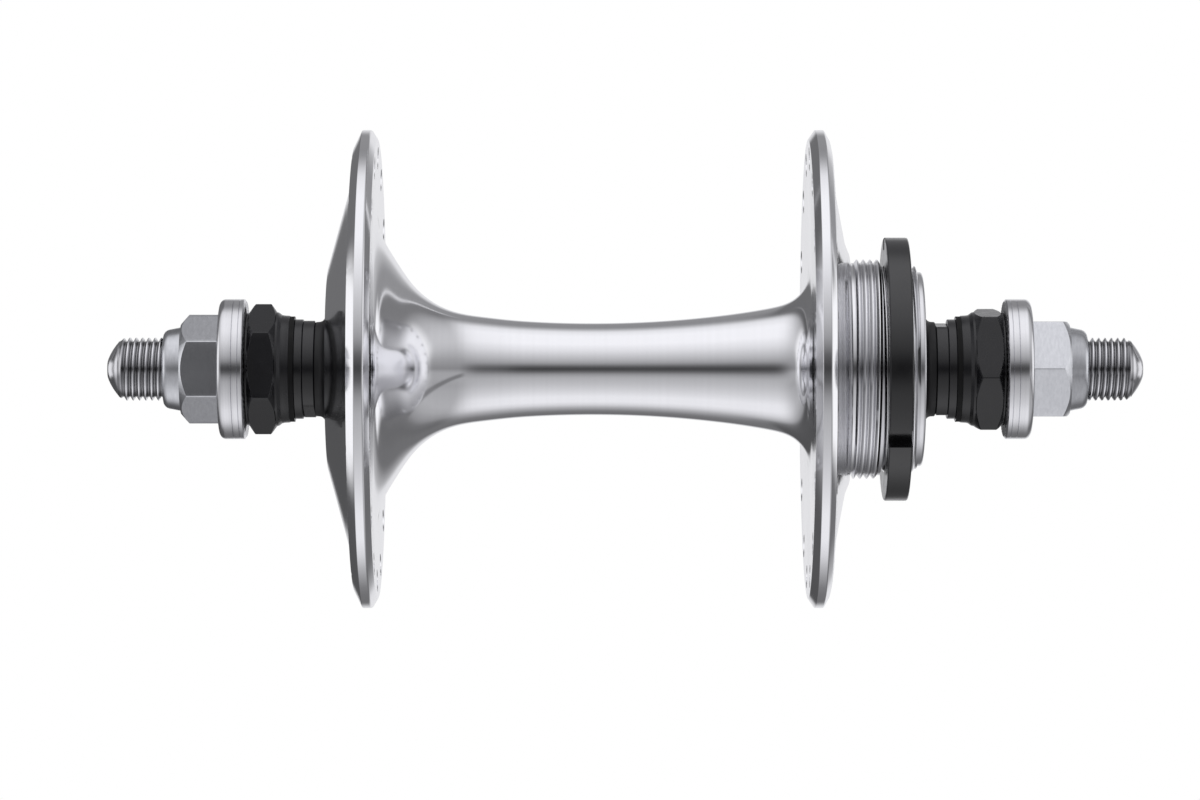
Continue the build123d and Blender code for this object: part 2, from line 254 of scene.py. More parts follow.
def piece(name, mesh, body, material, replaces=(), sharp=30.0):
    """An object in the scene that rides on a body and stands for these CAD nodes."""
    obj = bpy.data.objects.new(name, mesh)
    bpy.context.scene.collection.objects.link(obj)
    mesh.shade_smooth()
    mesh.set_sharp_from_angle(angle=radians(sharp))
    mesh.materials.append(material)
    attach(obj, body)
    if replaces:
        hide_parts(*replaces)


# Materials

class Nodes:
    """A short way to add and link a material's nodes."""

    def __init__(self, name):
        self.material = bpy.data.materials.new(name)
        self.material.use_nodes = True
        self.tree = self.material.node_tree
        self.shader = self.tree.nodes["Principled BSDF"]

    def add(self, kind, **settings):
        node = self.tree.nodes.new(kind)
        for key, value in settings.items():
            setattr(node, key, value)
        return node

    def link(self, source, target):
        self.tree.links.new(source, target)

    def place(self):
        """The place on the object."""
        return self.add("ShaderNodeTexCoord").outputs["Object"]

    def split(self):
        """The place on the object, as separate coordinates."""
        node = self.add("ShaderNodeSeparateXYZ")
        self.link(self.place(), node.inputs[0])
        return node

    def radius(self, split):
        """The distance from the axle."""
        plane = self.add("ShaderNodeCombineXYZ")
        self.link(split.outputs["Y"], plane.inputs["Y"])
        self.link(split.outputs["Z"], plane.inputs["Z"])
        length = self.add("ShaderNodeVectorMath", operation="LENGTH")
        self.link(plane.outputs[0], length.inputs[0])
        return length.outputs["Value"]

    def turning_coordinates(self, along, around):
        """Coordinates in which marks run round the axle, with this many per metre along it."""
        split = self.split()
        mixed = self.add("ShaderNodeCombineXYZ")
        for source, socket, scale in (
            (split.outputs["X"], "X", along),
            (self.radius(split), "Y", along),
            (split.outputs["Z"], "Z", around),
        ):
            times = self.add("ShaderNodeMath", operation="MULTIPLY")
            times.inputs[1].default_value = scale
            self.link(source, times.inputs[0])
            self.link(times.outputs[0], mixed.inputs[socket])
        return mixed.outputs[0]

    def noise(self, vector, scale, detail=3.0):
        node = self.add("ShaderNodeTexNoise")
        node.inputs["Scale"].default_value = scale
        node.inputs["Detail"].default_value = detail
        self.link(vector, node.inputs["Vector"])
        return node.outputs["Fac"]

    def mapped(self, source, first, last, low=0.0, high=1.0):
        """The source's range from first to last, mapped to low and high."""
        node = self.add("ShaderNodeMapRange")
        node.inputs["From Min"].default_value = first
        node.inputs["From Max"].default_value = last
        node.inputs["To Min"].default_value = low
        node.inputs["To Max"].default_value = high
        self.link(source, node.inputs["Value"])
        return node.outputs["Result"]

    def spread(self, noise, low=0.0, high=1.0):
        """A noise, which stays mostly between 0.3 and 0.7, mapped to low and high."""
        return self.mapped(noise, 0.3, 0.7, low, high)

    def bump(self, source, strength):
        node = self.add("ShaderNodeBump")
        node.inputs["Strength"].default_value = strength
        node.inputs["Distance"].default_value = 0.2 * MM
        self.link(source, node.inputs["Height"])
        self.link(node.outputs["Normal"], self.shader.inputs["Normal"])

    def tint(self, source, low, high):
        node = self.add("ShaderNodeMix", data_type="RGBA")
        node.inputs["A"].default_value = (*low, 1)
        node.inputs["B"].default_value = (*high, 1)
        self.link(source, node.inputs["Factor"])
        self.link(node.outputs["Result"], self.shader.inputs["Base Color"])

    def gloss(self, noise_scale, roughness):
        """A roughness that varies a little, between these two."""
        haze = self.noise(self.place(), noise_scale)
        self.link(self.spread(haze, *roughness), self.shader.inputs["Roughness"])


def metal(name, low, high, roughness, marks=1500.0, around=20.0, mark_depth=0.008):
    """A bright turned metal: fine marks run round the axle, and its gloss varies a little."""
    nodes = Nodes(name)
    nodes.shader.inputs["Metallic"].default_value = 1.0
    lines = nodes.noise(nodes.turning_coordinates(marks, around), 1.0)
    nodes.tint(nodes.spread(lines), low, high)
    nodes.gloss(60.0, roughness)
    nodes.bump(lines, mark_depth)
    return nodes.material


def thread_metal(name, valley_shade, crest, root, major):
    """A screw thread's metal, bright on its crests and darker in its valleys, where the darker colour is
    painted shade.
    """
    nodes = Nodes(name)
    nodes.shader.inputs["Metallic"].default_value = 1.0
    dark_up_to = (0.75 * root + 0.25 * major) * MM
    bright_from = (0.15 * root + 0.85 * major) * MM
    depth = nodes.mapped(nodes.radius(nodes.split()), dark_up_to, bright_from)
    # The valley colour darkens the thread's valleys as painted shade.
    nodes.tint(depth, valley_shade, crest)
    nodes.gloss(60.0, (0.12, 0.18))
    return nodes.material


def shell_thread_metal(name, major):
    # The darker valley grey is painted shade in the shell's threads.
    return thread_metal(name, (0.66, 0.66, 0.68), (0.92, 0.92, 0.94), major - SHELL_THREAD_DEPTH, major)


def black_finish(name, low, high, roughness, shine=1.6):
    """A black coat over turned metal, with a fine grain."""
    nodes = Nodes(name)
    nodes.shader.inputs["IOR"].default_value = shine
    lines = nodes.noise(nodes.turning_coordinates(1500.0, 60.0), 1.0, 2.0)
    haze = nodes.noise(nodes.place(), 120.0)
    nodes.tint(nodes.spread(haze), low, high)
    nodes.gloss(700.0, roughness)
    nodes.bump(lines, 0.012)
    return nodes.material


POLISHED = metal(
    "polished_alloy", (0.885, 0.885, 0.905), (0.905, 0.905, 0.925), (0.075, 0.12), mark_depth=0.0005
)
SPROCKET_THREAD_ALLOY = shell_thread_metal("sprocket_thread_alloy", SPROCKET_THREAD_RADIUS)
LOCKRING_THREAD_ALLOY = shell_thread_metal("lockring_thread_alloy", LOCKRING_THREAD_RADIUS)
# The axle thread's dark valley grey is painted shade in the thread's valleys.
AXLE_THREAD_STEEL = thread_metal(
    "axle_thread_steel", (0.33, 0.33, 0.34), (0.86, 0.86, 0.88), AXLE_RADIUS - AXLE_THREAD_DEPTH, AXLE_RADIUS
)
AXLE_STEEL = metal("axle_steel", (0.66, 0.66, 0.68), (0.74, 0.74, 0.76), (0.12, 0.18), mark_depth=0.002)
ZINC = metal(
    "zinc_plate", (0.66, 0.67, 0.7), (0.74, 0.75, 0.78), (0.2, 0.28),
    marks=2500.0, around=900.0, mark_depth=0.003
)
NICKEL = metal("nickel_plate", (0.74, 0.74, 0.76), (0.84, 0.84, 0.86), (0.12, 0.18))
CAP_STEEL = metal("cap_steel", (0.74, 0.74, 0.76), (0.84, 0.84, 0.86), (0.14, 0.22))
BEARING = metal("bearing_steel", (0.74, 0.74, 0.75), (0.8, 0.8, 0.81), (0.08, 0.14))
BLACK_RING = black_finish(
    "black_ring", (0.004, 0.004, 0.005), (0.007, 0.007, 0.008), (0.16, 0.24), shine=1.72
)
BLACK_NUT = black_finish(
    "black_nut", (0.004, 0.004, 0.005), (0.007, 0.007, 0.009), (0.22, 0.28), shine=1.55
)
BLACK_CONE = black_finish("black_cone", (0.004, 0.004, 0.005), (0.007, 0.007, 0.009), (0.2, 0.27))
RUBBER = black_finish(
    "seal_rubber", (0.006, 0.006, 0.007), (0.01, 0.01, 0.011), (0.42, 0.52), shine=1.45
)
MATTE_BLACK = black_finish(
    "matte_black", (0.004, 0.004, 0.004), (0.006, 0.006, 0.006), (0.55, 0.7), shine=1.3
)


# Hub shell

# How deep each flange's inner face is dished at these radii: (radius, depth)
LEFT_DISH = ((35.0, 0.05), (33.5, 0.09), (32.0, 0.13), (29.5, 0.2))
RIGHT_DISH = ((29.5, 0.13), (32.0, 0.09), (33.5, 0.07), (35.0, 0.03))
FOOT_DISH = 0.4


def barrel_radius(x):
    """The barrel's radius at x: a long arc, slimmest midway between the flanges' inner faces."""
    waist_place = (RIGHT_FACE - LEFT_FACE) / 2
    waist_radius, arc_radius = 7.27, 168.0
    return waist_radius + arc_radius - sqrt(arc_radius**2 - (x - waist_place) ** 2)


def eased_line(points, spacing=0.6, rounds=14):
    """The line through these points at an even spacing, with its changes of bend softened."""
    lengths = [0.0]
    for (xa, ra), (xb, rb) in zip(points, points[1:]):
        lengths.append(lengths[-1] + hypot(xb - xa, rb - ra))
    count = round(lengths[-1] / spacing)
    even = []
    k = 0
    for i in range(count + 1):
        place = lengths[-1] * i / count
        while k < len(points) - 2 and lengths[k + 1] < place:
            k += 1
        share = (place - lengths[k]) / (lengths[k + 1] - lengths[k])
        even.append(Vector(points[k]).lerp(Vector(points[k + 1]), share))
    for _ in range(rounds):
        middle = [(a + 2 * b + c) / 4 for a, b, c in zip(even, even[1:], even[2:])]
        even = [even[0], *middle, even[-1]]
    return [(point.x, point.y) for point in even]


def waist_line():
    """The barrel and its two flares, from one flange's inner face to the other's."""
    flare_length, flare_angle = 7.85, 57.5
    left_foot = -LEFT_FACE - FOOT_DISH
    left_knee = -LEFT_FACE + flare_length
    right_knee = RIGHT_FACE + FOOT_DISH
    flare_rise = (left_knee - left_foot) * tan(radians(flare_angle))
    return eased_line(outline(
        *[(-LEFT_FACE - depth, r) for r, depth in LEFT_DISH[2:]],
        (left_foot, barrel_radius(left_knee) + flare_rise, 9.0),
        (left_knee, barrel_radius(left_knee), 18.0),
        *[(x, barrel_radius(x)) for x in range(-18, 22, 2)],
        (right_knee, barrel_radius(right_knee), 8.5),
        *[(RIGHT_FACE + depth, r) for r, depth in RIGHT_DISH[:2]],
    ))


def shell_section():
    """The shell's section, from the left end over both flanges to the right end, and back inside."""
    sprocket_core = SPROCKET_THREAD_RADIUS - 0.75
    lockring_core = LOCKRING_THREAD_RADIUS - 0.7
    shoulder_radius = SPROCKET_THREAD_RADIUS + 0.9
    cap_seat_radius = CAP_RIM_RADIUS + CLEARANCE
    return outline(
        (-CAP_FACE, cap_seat_radius, 0.08),
        (-CAP_FACE, CAP_RIM_RADIUS + 0.75, 0.3),
        (-LEFT_BAND, BAND_RADIUS, 1.5),
        (-LEFT_LAND, LAND_INNER_RADIUS, 0.3),
        (-LEFT_LAND, SPOKE_CIRCLE_RADIUS),
        (-LEFT_LAND, LAND_OUTER_RADIUS, 0.35),
        (-LEFT_RIM_OUTER, FLANGE_RADIUS, 0.2),
        (-LEFT_RIM_INNER, FLANGE_RADIUS, 0.45),
        (-LEFT_FACE, FACE_EDGE_RADIUS, 0.3),
        *[(-LEFT_FACE - depth, r) for r, depth in LEFT_DISH[:2]],
        *waist_line(),
        *[(RIGHT_FACE + depth, r) for r, depth in RIGHT_DISH[2:]],
        (RIGHT_FACE, FACE_EDGE_RADIUS, 0.3),
        (RIGHT_RIM_INNER, FLANGE_RADIUS, 0.2),
        (RIGHT_RIM_OUTER, FLANGE_RADIUS, 0.3),
        (RIGHT_LAND - 0.22, FLANGE_RADIUS - 1.6, 0.8),
        (RIGHT_LAND, LAND_OUTER_RADIUS),
        (RIGHT_LAND, SPOKE_CIRCLE_RADIUS),
        (RIGHT_LAND, LAND_INNER_RADIUS, 0.3),
        (RIGHT_BAND, BAND_RADIUS, 1.5),
        (RIGHT_CONE_FOOT, shoulder_radius + 1.7, 5.0),
        (SPROCKET_SHOULDER, shoulder_radius, 0.2),
        (SPROCKET_SHOULDER, sprocket_core),
        (LOCKRING_THREAD_INNER, sprocket_core),
        (LOCKRING_THREAD_INNER, lockring_core),
        (SHELL_END, lockring_core),
        (SHELL_END, CUP_RADIUS),
        (CUP_FLOOR, CUP_RADIUS),
        (CUP_FLOOR, AXLE_WAY_RADIUS),
        (-CUP_FLOOR, AXLE_WAY_RADIUS),
        (-CUP_FLOOR, CUP_RADIUS),
        (-SHELL_END, CUP_RADIUS),
        (-SHELL_END, cap_seat_radius),
    )


def drill_mesh():
    """The 32 spoke holes, each with a countersink at both faces, as one cutting mesh."""
    hole, countersink, depth, beyond, steps = 1.25, 1.9, 0.5, 0.5, 40
    mouth = countersink + (countersink - hole) * beyond / depth
    bm = bmesh.new()
    for flange, way in SIDES.items():
        inner, outer = INNER_FACE[flange], LAND[flange]
        levels = (
            (inner - way * beyond, mouth),
            (inner + way * depth, hole),
            (outer - way * depth, hole),
            (outer + way * beyond, mouth),
        )
        for k in range(SPOKE_HOLES):
            middle = radians(180 - SPOKE_PHASE[flange] - 360 * k / SPOKE_HOLES)
            across = -SPOKE_CIRCLE_RADIUS * cos(middle)
            up = SPOKE_CIRCLE_RADIUS * sin(middle)
            rings = []
            for x, r in levels:
                ring = []
                for turn in (2 * pi * j / steps for j in range(steps)):
                    point = Vector((x, across + r * cos(turn), up + r * sin(turn)))
                    ring.append(bm.verts.new(point * MM))
                rings.append(ring)
            for lower, upper in zip(rings, rings[1:]):
                for j in range(steps):
                    m = (j + 1) % steps
                    bm.faces.new((lower[j], lower[m], upper[m], upper[j]))
            bm.faces.new(rings[0])
            bm.faces.new(rings[-1])
    return finished_mesh("spoke_drill", bm)


def add_shell():
    shell = cut(lathe("hub_shell_turned", shell_section(), 240), drill_mesh())
    shell.name = "shell_body"
    piece("shell_body", shell, "shell", POLISHED, ["hub_shell"], sharp=24.0)


def add_shell_thread(name, start, end, major, wall, fade, hand, material):
    """One of the shell's two threads, over the core that the shell's section leaves for it."""
    mesh = thread_mesh(
        name, start, end, major, SHELL_THREAD_DEPTH, SHELL_THREAD_PITCH, major - wall, fade, hand
    )
    piece(name, mesh, "shell", material)


def add_shell_threads():
    """The sprocket's right-hand thread and the lockring's left-hand one."""
    add_shell_thread(
        "sprocket_thread", SPROCKET_SHOULDER + 0.5, LOCKRING_THREAD_INNER,
        SPROCKET_THREAD_RADIUS, 1.2, 0.12, 1, SPROCKET_THREAD_ALLOY
    )
    add_shell_thread(
        "lockring_thread", LOCKRING_THREAD_INNER, SHELL_END,
        LOCKRING_THREAD_RADIUS, 1.1, 0.2, -1, LOCKRING_THREAD_ALLOY
    )


# Axle

def add_axle():
    root = AXLE_RADIUS - 0.75
    # The domed end: how far from the tip, and the radius there, down to the centre hole
    dome = (
        (2.3, root), (2.2, 4.6), (1.75, 4.3), (1.3, 3.75), (0.85, 3.1), (0.45, 2.4), (0.15, 1.75),
        (0.0, 1.3), (0.0, 1.0), (1.3, 0.0),
    )
    right = [(AXLE_END - back, r) for back, r in dome]
    right = [(AXLE_THREAD_START - 0.3, AXLE_CORE_RADIUS), (AXLE_THREAD_START, root)] + right
    section = on_side(reversed(right), "left") + right
    core = lathe("axle_core", section, 96, closed=False)
    piece("axle_core", core, "axle_assembly", AXLE_STEEL, ["axle"])
    for side, way in SIDES.items():
        thread = thread_mesh(
            f"axle_thread_{side}", way * AXLE_THREAD_START, way * AXLE_THREAD_END, AXLE_RADIUS,
            AXLE_THREAD_DEPTH, AXLE_THREAD_PITCH, AXLE_CORE_RADIUS - 1.0, fade=0.9, steps=96
        )
        piece(f"axle_thread_{side}", thread, "axle_assembly", AXLE_THREAD_STEEL)


# Hexagons

def corner_turn(flat, corner):
    """How far round its middle a rounded corner of a hexagon reaches, in degrees."""
    return 30 - degrees(atan((flat - corner) * tan(pi / 6) / flat))


def hex_angles(turn, flat, corner):
    """Angles that fall on the corners, with a few steps round each and across each flat."""
    reach = corner_turn(flat, corner)
    offsets = [reach * k / 3 for k in range(-3, 4)]
    offsets += [reach + (60 - 2 * reach) * k / 14 for k in range(1, 14)]
    return [turn + 60 * side + offset for side in range(6) for offset in offsets]


def hex_radius(angle, turn, flat, corner):
    """The distance from the axle to a hexagon with rounded corners, in this direction."""
    local = radians(abs((angle - turn + 30) % 60 - 30))
    back = (flat - corner) / cos(pi / 6)
    if local < radians(corner_turn(flat, corner)):
        return back * cos(local) + sqrt(corner**2 - (back * sin(local)) ** 2)
    return flat / cos(pi / 6 - local)


def add_locknut(side):
    """A locknut: a serrated face, a hexagon with turned-down corners, and a long neck."""
    flat, corner, neck = 18.0 / 2, 0.25, 8.5
    turn = LOCKNUT_TURN[side]
    outer = LOCKNUT_FACE - 0.4
    inner = outer - 4.4
    groove_end = LOCKNUT_INNER + 0.75
    groove_radius = neck - 0.2

    def section(angle):
        reach = hex_radius(angle, turn, flat, corner)
        drop = (reach - flat) * 0.64 + 0.02
        serrated = 8.92 + 0.03 * sin(radians(72 * angle))
        return on_side([
            (LOCKNUT_FACE, AXLE_RADIUS),
            (LOCKNUT_FACE, 8.75),
            (LOCKNUT_FACE - 0.1, serrated),
            (outer + 0.06, serrated),
            (outer, flat - 0.03),
            (outer - drop + 0.03, reach - 0.12),
            (outer - drop - 0.1, reach),
            (inner + drop + 0.1, reach),
            (inner + drop - 0.03, reach - 0.12),
            (inner + 0.02, flat + 0.05),
            (inner - 0.3, flat - 0.02),
            (inner - 0.8, neck + 0.1),
            (inner - 1.2, neck + 0.02),
            (groove_end + 0.15, neck - 0.02),
            (groove_end + 0.02, neck - 0.08),
            (groove_end, groove_radius),
            (LOCKNUT_INNER, groove_radius),
            (LOCKNUT_INNER, AXLE_RADIUS),
        ], side)

    name = f"locknut_body_{side}"
    mesh = turned_mesh(name, section, hex_angles(turn, flat, corner))
    piece(name, mesh, "axle_assembly", BLACK_NUT, [f"locknut_{side}"], 24.0)


def add_locknut_band(side):
    """The dull black band in the groove at the locknut's inner end."""
    start, end = LOCKNUT_INNER + 0.02, LOCKNUT_INNER + 0.74
    low, high = 8.0, 8.36
    section = on_side([(start, low), (start, high), (end, high), (end, low)], side)
    mesh = lathe(f"locknut_band_{side}", section, 120)
    piece(f"locknut_band_{side}", mesh, "axle_assembly", MATTE_BLACK)


def add_axle_nut(side):
    """An axle nut: a skirt that holds the washer, a hexagon, and a conical nose."""
    flat, corner = 15.0 / 2, 0.2
    turn = NUT_TURN[side]
    bore = AXLE_RADIUS + CLEARANCE
    lip_start, lip_end, lip_radius = LOCKNUT_FACE + 0.8, LOCKNUT_FACE + 1.6, NUT_SKIRT_RADIUS + 0.45
    # The nose: how far out from the hexagon, and the radius there
    nose = ((0.0, 6.66), (0.06, 6.64), (1.9, 6.28), (2.25, 6.15), (2.55, 5.9), (2.74, 5.62), (2.8, 5.35))

    def section(angle):
        reach = hex_radius(angle, turn, flat, corner)
        drop = max(0.0, reach - flat) * 0.85
        return on_side([
            (lip_start, bore),
            (lip_start, lip_radius),
            (lip_end, lip_radius),
            (lip_end, NUT_SKIRT_RADIUS),
            (NUT_HEX_INNER, NUT_SKIRT_RADIUS),
            (NUT_HEX_INNER, reach - 0.1),
            (NUT_HEX_INNER + 0.1, reach),
            (NUT_HEX_OUTER - drop - 0.3, reach),
            (NUT_HEX_OUTER - drop - 0.2, reach - 0.1),
            (NUT_HEX_OUTER - 0.08, flat - 0.22),
            (NUT_HEX_OUTER, flat - 0.32),
            *[(NUT_HEX_OUTER + out, r) for out, r in nose],
            (NUT_HEX_OUTER + nose[-1][0], bore),
        ], side)

    name = f"nut_body_{side}"
    mesh = turned_mesh(name, section, hex_angles(turn, flat, corner))
    piece(name, mesh, f"nut_{side}", ZINC, [f"axle_nut_{side}"], 24.0)


# Small turned pieces

def add_washer(side):
    """A captive washer: a toothed face, two fine grooves round its rim, and a round outer edge."""
    recess, recess_end = 7.8, LOCKNUT_FACE + 1.65
    face_edge = (LOCKNUT_FACE + 0.12, 10.8)

    def groove(middle):
        """A fine V-groove round the rim."""
        return [
            (middle - 0.07, WASHER_RADIUS), (middle, WASHER_RADIUS - 0.12), (middle + 0.07, WASHER_RADIUS)
        ]

    def rounded(before, corner, after):
        """The points of one rounded corner, without the ends of the lines that meet there."""
        return outline(before, corner, after)[1:-1]

    def section(angle):
        tooth = 0.05 + 0.05 * sin(radians(60 * angle))
        return on_side([
            (LOCKNUT_FACE + tooth, recess),
            (LOCKNUT_FACE + tooth, 10.6),
            face_edge,
            *rounded(
                face_edge,
                (LOCKNUT_FACE + 0.35, WASHER_RADIUS, 0.15),
                (LOCKNUT_FACE + 0.8, WASHER_RADIUS),
            ),
            *groove(LOCKNUT_FACE + 0.95),
            *groove(LOCKNUT_FACE + 1.95),
            *rounded(
                (LOCKNUT_FACE + 2.2, WASHER_RADIUS),
                (WASHER_FACE, WASHER_RADIUS, 1.25),
                (WASHER_FACE, WASHER_HOLE_RADIUS),
            ),
            (WASHER_FACE, WASHER_HOLE_RADIUS),
            (recess_end, WASHER_HOLE_RADIUS),
            (recess_end, recess),
        ], side)

    name = f"washer_body_{side}"
    mesh = turned_mesh(name, section, even_angles(240))
    piece(name, mesh, f"washer_{side}", NICKEL, [f"nut_washer_{side}"], 28.0)


def add_spacer(side):
    section = on_side(outline(
        (SPACER_INNER, AXLE_RADIUS),
        (SPACER_INNER, SPACER_RADIUS, 0.15),
        (LOCKNUT_INNER, SPACER_RADIUS, 0.15),
        (LOCKNUT_INNER, AXLE_RADIUS),
    ), side)
    name = f"spacer_body_{side}"
    piece(name, lathe(name, section, 120), "axle_assembly", BLACK_CONE, [f"spacer_{side}"])


def add_cone(side):
    """A cone: its race inside the hub, a seat for the seal, and two flats for a spanner."""
    flat = 14.0 / 2
    turn = CONE_TURN[side]
    inner = 40.3
    race_place, race_height, race_radius = 42.591, 9.909, 3.5
    flat_edge = degrees(acos(flat / CONE_RADIUS))
    offsets = [flat_edge * k / 8 for k in range(-8, 9)]
    offsets += [flat_edge + (180 - 2 * flat_edge) * k / 30 for k in range(1, 30)]
    angles = sorted({round((turn + half + offset) % 360, 6) for half in (0, 180) for offset in offsets})
    race = [
        (race_place + race_radius * cos(radians(a)), race_height - race_radius * sin(radians(a)))
        for a in (85, 75, 65, 55, 45, 35, 28)
    ]

    def section(angle):
        local = abs((angle - turn + 90) % 180 - 90)
        reach = flat / cos(radians(local)) if local < flat_edge else CONE_RADIUS
        return on_side([
            (inner, AXLE_RADIUS),
            (inner, 6.2),
            *race,
            (SEAL_INNER, 8.3),
            (SEAL_INNER, CONE_SEAT_RADIUS),
            (CONE_FLAT_INNER, CONE_SEAT_RADIUS),
            (CONE_FLAT_INNER, reach - 0.12),
            (CONE_FLAT_INNER + 0.1, reach),
            (SPACER_INNER - 0.12, reach),
            (SPACER_INNER, reach - 0.12),
            (SPACER_INNER, AXLE_RADIUS),
        ], side)

    name = f"cone_body_{side}"
    mesh = turned_mesh(name, section, angles)
    piece(name, mesh, "axle_assembly", BLACK_CONE, [f"cone_{side}"])


def add_seal(side):
    """A rubber seal: a lip over the dust cap's hole, flared down to the cone."""
    # How far out from the dust cap's face, and the radius there
    flare = (
        (0.05, 8.3), (0.05, 8.7), (0.12, 8.76), (0.28, 8.76), (0.36, 8.68), (0.5, 8.35),
        (0.72, 7.95), (1.0, 7.65), (1.35, 7.52), (2.0, 7.48),
    )
    section = on_side([
        (SEAL_INNER, CONE_SEAT_RADIUS),
        (SEAL_INNER, 8.3),
        *[(CAP_FACE + out, r) for out, r in flare],
        (CONE_FLAT_INNER, 7.35),
        (CONE_FLAT_INNER, CONE_SEAT_RADIUS),
    ], side)
    name = f"seal_body_{side}"
    piece(name, lathe(name, section, 120), "axle_assembly", RUBBER, [f"seal_{side}"])


def add_cap(side):
    """A dust cap: a plate with a hole for the cone, a rim over the shell's end, and a plug inside."""
    plate_inner = CAP_FACE - 0.8
    plug_end = SHELL_END - 0.7
    plug_bore = CUP_RADIUS - 0.8
    section = on_side(outline(
        (plate_inner, CAP_HOLE_RADIUS),
        (CAP_FACE, CAP_HOLE_RADIUS, 0.15),
        (CAP_FACE, CAP_RIM_RADIUS, 0.4),
        (SHELL_END, CAP_RIM_RADIUS),
        (SHELL_END, CUP_RADIUS),
        (plug_end, CUP_RADIUS),
        (plug_end, plug_bore),
        (plate_inner, plug_bore),
    ), side)
    name = f"cap_body_{side}"
    piece(name, lathe(name, section, 200), "shell", CAP_STEEL, [f"dust_cap_{side}"])


def notch_mesh():
    """The lockring's three spanner notches, as one cutting mesh."""
    first_notch, notches, half_width = -32, 3, 3.0 / 2
    floor, beyond = LOCKRING_RADIUS - 2.0, LOCKRING_RADIUS + 1.1
    start, end = LOCKRING_THREAD_INNER - 0.3, LOCKRING_THREAD_INNER + 5.7
    box_faces = ((0, 1, 3, 2), (4, 6, 7, 5), (0, 2, 6, 4), (1, 5, 7, 3), (0, 4, 5, 1), (2, 3, 7, 6))
    bm = bmesh.new()
    for k in range(notches):
        middle = radians(first_notch + 360 * k / notches)
        across = Vector((0, sin(middle), cos(middle)))
        out = Vector((0, -cos(middle), sin(middle)))
        corners = []
        for x in (start, end):
            for r in (floor, beyond):
                for aside in (-half_width, half_width):
                    corners.append(bm.verts.new((Vector((x, 0, 0)) + r * out + aside * across) * MM))
        for face in box_faces:
            bm.faces.new([corners[i] for i in face])
    return finished_mesh("notches", bm)


def add_lockring():
    inner = LOCKRING_THREAD_INNER + 0.7
    outer = inner + 3.7
    bore = LOCKRING_THREAD_RADIUS + CLEARANCE
    section = outline(
        (inner, bore),
        (inner, LOCKRING_RADIUS, 0.3),
        (outer, LOCKRING_RADIUS, 0.3),
        (outer, bore, 0.2),
    )
    mesh = cut(lathe("lockring_turned", section, 240), notch_mesh())
    mesh.name = "lockring_body"
    piece("lockring_body", mesh, "ring", BLACK_RING, ["lockring"])


def finish_bearing(side):
    """The hidden cup and balls keep their CAD meshes and get a bearing's steel."""
    for kind in ("bearing_cup", "bearing_balls"):
        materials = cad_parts[f"{kind}_{side}"].data.materials
        materials.clear()
        materials.append(BEARING)


# Studio

BLACK = (0, 0, 0, 1)
WHITE = (1, 1, 1, 1)


def cool_grey(level):
    """A grey of the tent's cloth, which is a little cool."""
    return (0.99 * level, 0.99 * level, 1.02 * level, 1)


def math_node(tree, operation, *sources):
    node = tree.nodes.new("ShaderNodeMath")
    node.operation = operation
    for k, source in enumerate(sources):
        if isinstance(source, (int, float)):
            node.inputs[k].default_value = source
        else:
            tree.links.new(source, node.inputs[k])
    return node.outputs[0]


def product(tree, first, *others):
    """The product of these sources."""
    for other in others:
        first = math_node(tree, "MULTIPLY", first, other)
    return first


def either(tree, first, second):
    """The larger of two sources."""
    return math_node(tree, "MAXIMUM", first, second)


def eased(tree, source, start, end):
    """A soft step of the source, from 0 at start to 1 at end."""
    node = tree.nodes.new("ShaderNodeMapRange")
    node.interpolation_type = "SMOOTHSTEP"
    node.inputs["From Min"].default_value = start
    node.inputs["From Max"].default_value = end
    tree.links.new(source, node.inputs["Value"])
    return node.outputs["Result"]


def ramp(tree, source, stops):
    """The source's grey, from stops (place, level)."""
    node = tree.nodes.new("ShaderNodeValToRGB")
    elements = node.color_ramp.elements
    while len(elements) > 1:
        elements.remove(elements[-1])
    elements[0].position = stops[0][0]
    elements[0].color = cool_grey(stops[0][1])
    for place, level in stops[1:]:
        elements.new(place).color = cool_grey(level)
    tree.links.new(source, node.inputs[0])
    return node.outputs["Color"]


def mix_colours(tree, factor, first, second):
    node = tree.nodes.new("ShaderNodeMix")
    node.data_type = "RGBA"
    for socket, source in (("Factor", factor), ("A", first), ("B", second)):
        target = [s for s in node.inputs if s.name == socket and s.enabled][0]
        if isinstance(source, tuple):
            target.default_value = source
        else:
            tree.links.new(source, target)
    return [s for s in node.outputs if s.name == "Result" and s.enabled][0]


def swing_round(tree, y, z):
    """How far round from the lens a direction lies: 0 towards it, 1 straight behind the hub."""
    height = math_node(tree, "ABSOLUTE", z)
    front = math_node(tree, "ARCTAN2", height, math_node(tree, "MULTIPLY", y, -1.0))
    front = math_node(tree, "DIVIDE", front, pi)
    rear = math_node(tree, "DIVIDE", math_node(tree, "ARCCOSINE", y), pi)
    rear = math_node(tree, "SUBTRACT", 1.0, rear)
    behind = math_node(tree, "GREATER_THAN", y, 0.0)
    return math_node(tree, "MULTIPLY_ADD", math_node(tree, "SUBTRACT", rear, front), behind, front)


